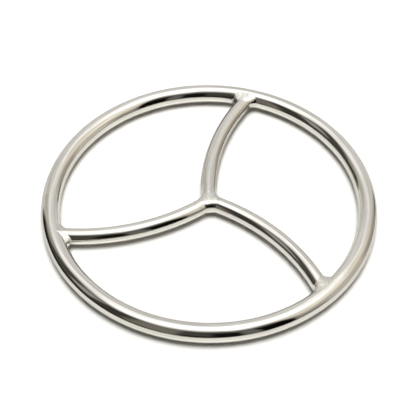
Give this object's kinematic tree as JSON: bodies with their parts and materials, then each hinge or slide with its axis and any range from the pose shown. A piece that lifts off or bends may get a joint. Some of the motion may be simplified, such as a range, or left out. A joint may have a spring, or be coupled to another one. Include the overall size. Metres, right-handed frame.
{
  "type": "rigging ring",
  "caption": "Rigid suspension ring of polished round bar: curved spokes run from a welded hub out to the ring and leave open windows for slings, rope or carabiners.",
  "frame": {"origin": "centre of the ring's underside, on the plane that it lies on", "axes": "+Z is the ring's axis, up from the surface it lies on; +X and +Y lie in the ring's plane, and spoke_1 reaches the ring 15.6 degrees clockwise of +Y"},
  "size_m": [0.25, 0.25, 0.014],
  "materials": {
    "polished_bar": "mirror polished stainless steel round bar",
    "ground_weld": "weld metal, hand ground and polished, slightly uneven"
  },
  "bodies": {
    "root": {"outer_ring": "polished_bar", "ring_butt_weld": "ground_weld", "hub_weld": "ground_weld", "spoke_1": "polished_bar", "spoke_2": "polished_bar", "spoke_3": "polished_bar", "spoke_weld_1": "ground_weld", "spoke_weld_2": "ground_weld", "spoke_weld_3": "ground_weld"}
  },
  "joints": []
}
